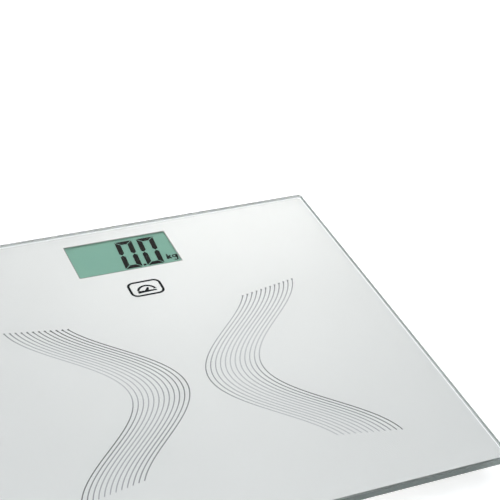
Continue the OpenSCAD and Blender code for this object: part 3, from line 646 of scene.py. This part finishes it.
white_abs = moulded("spark-textured white ABS", "#DADDDC", "#E0E2E1", 0.45, 0.35, 0.35)
dress(white_abs, "display_frame", "bottom_cover", "battery_door", "lcd_holder", *each("duct"),
      *each("foot_bracket"), *each("foot_cup"))
dress(moulded("spark-textured grey ABS", "#8B8F91", "#969A9C", 0.42, 0.35, 0.3), "unit_button")
dress(moulded("black nylon", "#151515", "#1C1C1C", 0.5, 0.3, 0.3), "switch_body", "switch_plunger")
dress(moulded("soft grey rubber", "#3A3B3D", "#434446", 0.78, 0.5, 0.6), *each("foot_pad"))
dress(moulded("closed-cell foam", "#1B1B1B", "#262626", 0.9, 0.4, 1.0), "lcd_gasket")
dress(moulded("white foam tape", "#CFCFCB", "#DBDBD7", 0.9, 0.5, 1.0), "frame_tape", *each("bracket_tape"))
dress(moulded("cured silicone", "#DCDAD3", "#E6E4DE", 0.35, 1.5, 0.2), *each("strain_gauge"))
dress(moulded("black epoxy resin", "#0B0B0B", "#131313", 0.22, 2.0, 0.25), "controller_blob")
wire_colours = [("red", "#8E1512", "#A01B16"), ("black", "#141414", "#1D1D1D"),
                ("white", "#D9D9D4", "#E4E4E0")]
for wire, low_hex, high_hex in wire_colours:
    dress(moulded(wire + " PVC insulation", low_hex, high_hex, 0.4, 0.8, 0.15), "wires_" + wire)
print("materials so far:", len(bpy.data.materials))

# %% [markdown]
# ## Metals
# Screws are zinc-plated steel, the coin cell is a drawn stainless can, the load cells are stamped
# spring steel and the contacts nickel-plated bronze. All are metallic and differ in roughness and
# in how the surface was worked. Drawing and rolling leave fine lines along the metal, made here by
# stretching a noise along one axis, and plating leaves an even grain. The real marks are far finer, and
# are drawn at 0.3 mm so that they show.

# %% Steel and bronze
def worked_metal(name, hex_low, hex_high, roughness, stretch, bump):
    material = new_material(name)
    place = add(material, "ShaderNodeNewGeometry")
    drawn = add(material, "ShaderNodeMapping", {"Vector": place.outputs["Position"], "Scale": stretch})
    grain = add(material, "ShaderNodeTexNoise", {"Vector": drawn.outputs[0], "Scale": 1 / (0.3 * MM),
                "Detail": 3})
    metal = ramp(material, grain.outputs["Fac"], [(0.3, colour(hex_low)), (0.7, colour(hex_high))])
    shine = add(material, "ShaderNodeMapRange", {"Value": grain.outputs["Fac"], "To Min": roughness - 0.06,
                "To Max": roughness + 0.1})
    relief = add(material, "ShaderNodeBump", {"Strength": bump, "Distance": 0.01 * MM,
                 "Height": grain.outputs["Fac"]})
    return finish_with(material, add(material, "ShaderNodeBsdfPrincipled", {"Base Color": metal.outputs[0],
                       "Metallic": 1.0, "Roughness": shine.outputs[0], "Normal": relief.outputs[0]}))


zinc = worked_metal("zinc-plated steel", "#B4B7B9", "#C6C9CB", 0.3, (1, 1, 1), 0.2)
dress(zinc, "cover_screws", "board_screws")
stainless = worked_metal("drawn stainless steel", "#C2C2C0", "#D2D2D0", 0.24, (0.15, 1, 1), 0.2)
dress(stainless, "coin_cell")
spring_steel = worked_metal("rolled spring steel", "#A2A5A8", "#B2B5B8", 0.32, (0.12, 1, 1), 0.3)
dress(spring_steel, *each("load_cell"))
bronze = worked_metal("nickel-plated bronze", "#BDB6A4", "#CDC6B4", 0.3, (1, 0.2, 1), 0.2)
dress(bronze, "contact_positive", "contact_negative")
print("metals:", [m.name for m in (zinc, stainless, spring_steel, bronze)])

# %% [markdown]
# ## Circuit board
# Green solder mask over copper: the copper shows through as slightly lighter bands. Bands about 1 mm
# wide run along the board. The small parts are baked ceramic and tin. The connector strip is silicone
# rubber in dark conductive and pale insulating layers. They are about 0.1 mm or thinner on the real
# strip, and are drawn at 0.5 mm so that they show.

# %% Board, connector strip and small parts
mask_green = new_material("green solder mask over copper")
board_spot = add(mask_green, "ShaderNodeNewGeometry")
tracks = add(mask_green, "ShaderNodeTexBrick", {"Vector": board_spot.outputs["Position"],
             "Scale": 1 / (9 * MM), "Color1": (0, 0, 0, 1), "Color2": (1, 1, 1, 1),
             "Mortar": (0.2, 0.2, 0.2, 1), "Mortar Size": 0.02, "Brick Width": 1.6, "Row Height": 0.12})
mask_colour = ramp(mask_green, tracks.outputs["Fac"], [(0.2, colour("#0E5A33")), (0.8, colour("#15703F"))])
finish_with(mask_green, add(mask_green, "ShaderNodeBsdfPrincipled", {"Base Color": mask_colour.outputs[0],
            "Roughness": 0.3, "IOR": 1.5}))
dress(mask_green, "main_board")
dress(moulded("baked ceramic and tin", "#6E5F4B", "#8A7A63", 0.4, 0.6, 0.3), "board_parts")

STRIP_LAYER_MM = 0.5
BAND_REPEAT = 0.31  # a wave texture with a scale of 1 repeats at about this distance
stripe_rubber = new_material("layered silicone connector")
strip_spot = add(stripe_rubber, "ShaderNodeNewGeometry")
layers = add(stripe_rubber, "ShaderNodeTexWave", {"Vector": strip_spot.outputs["Position"],
             "Scale": BAND_REPEAT / (STRIP_LAYER_MM * MM) / 2}, wave_type="BANDS", bands_direction="X")
layer_colour = ramp(stripe_rubber, layers.outputs["Fac"], [(0.45, colour("#2A2020")),
                    (0.55, colour("#D9A5A5"))])
finish_with(stripe_rubber, add(stripe_rubber, "ShaderNodeBsdfPrincipled", {"Roughness": 0.6,
            "Base Color": layer_colour.outputs[0]}))
dress(stripe_rubber, "zebra_strip")
hidden = {"front_polariser", "lcd_front_glass"}
print("nodes that show without a finish:", sorted(set(nodes) - dressed - hidden))
